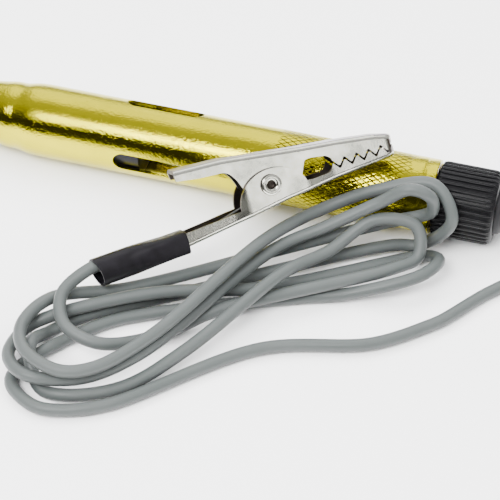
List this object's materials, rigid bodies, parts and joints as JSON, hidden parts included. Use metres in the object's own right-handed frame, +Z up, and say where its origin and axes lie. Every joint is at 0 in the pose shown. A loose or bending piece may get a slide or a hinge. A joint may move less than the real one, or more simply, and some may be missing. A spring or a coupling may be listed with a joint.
{
  "type": "circuit test light",
  "caption": "Pocket circuit tester: brass tube with a probe and a lamp behind windows, a screw cap, and a coiled cord with a spring clip.",
  "frame": {"origin": "on the surface under the tube, at the middle of the tool's length from probe tip to strain relief, cord and clip left out", "axes": "+X along the tube towards the cord end, +Z up, -Y towards the cord and clip"},
  "size_m": [0.1897, 0.0767, 0.024],
  "materials": {
    "brass": "bright turned brass, clear lacquered, fine line knurl at the rear",
    "steel": "ground steel wire and probe",
    "nickel": "bright nickel plate on pressed steel",
    "black_plastic": "moulded black plastic, semi-gloss",
    "black_sleeve": "black shrunk vinyl sleeve",
    "rubber": "black rubber",
    "grey_vinyl": "grey vinyl cord jacket, dull",
    "white_plastic": "off-white insulating tube",
    "glass": "clear lamp glass",
    "copper": "bare stranded copper"
  },
  "bodies": {
    "root": {"barrel": "brass", "nose_insulator": "black_plastic", "probe_needle": "steel", "front_contact": "brass", "lamp_front_cap": "nickel", "lamp_rear_cap": "nickel", "lamp_glass": "glass", "lamp_filament": "steel", "rear_contact": "brass", "contact_spring": "steel", "terminal_disc": "brass", "rear_lining": "white_plastic", "thread_bush": "brass", "cord_stop": "nickel", "stripped_core": "copper", "clip_lower_jaw": "nickel", "clip_rivet": "nickel", "clip_spring": "steel", "clip_sleeve": "black_sleeve", "clip_core": "copper", "cord": "grey_vinyl"},
    "strain_relief": {"cable_grommet": "rubber"},
    "cap": {"rear_cap": "black_plastic"},
    "upper_jaw": {"clip_upper_jaw": "nickel", "clip_spring_arm": "steel"}
  },
  "joints": [
    {"name": "cap_travel", "type": "slide", "parent": "root", "child": "strain_relief", "axis": [1, 0, 0], "range_m": [0, 0.008]},
    {"name": "cap_turn", "type": "hinge", "parent": "strain_relief", "child": "cap", "pos_m": [0.0705, 0, 0.0075], "axis": [1, 0, 0], "range_deg": [0, 2880]},
    {"name": "clip_open", "type": "hinge", "parent": "root", "child": "upper_jaw", "pos_m": [0.02716, -0.01487, 0.017], "axis": [0.4258, -0.6528, 0.6265], "range_deg": [0, 26], "stiffness_Nm_per_rad": 0.07, "springref_deg": -57.3}
  ],
  "couplings": [
    {"joint": "cap_turn", "follows": "cap_travel", "rad_per_m": 6283}
  ]
}
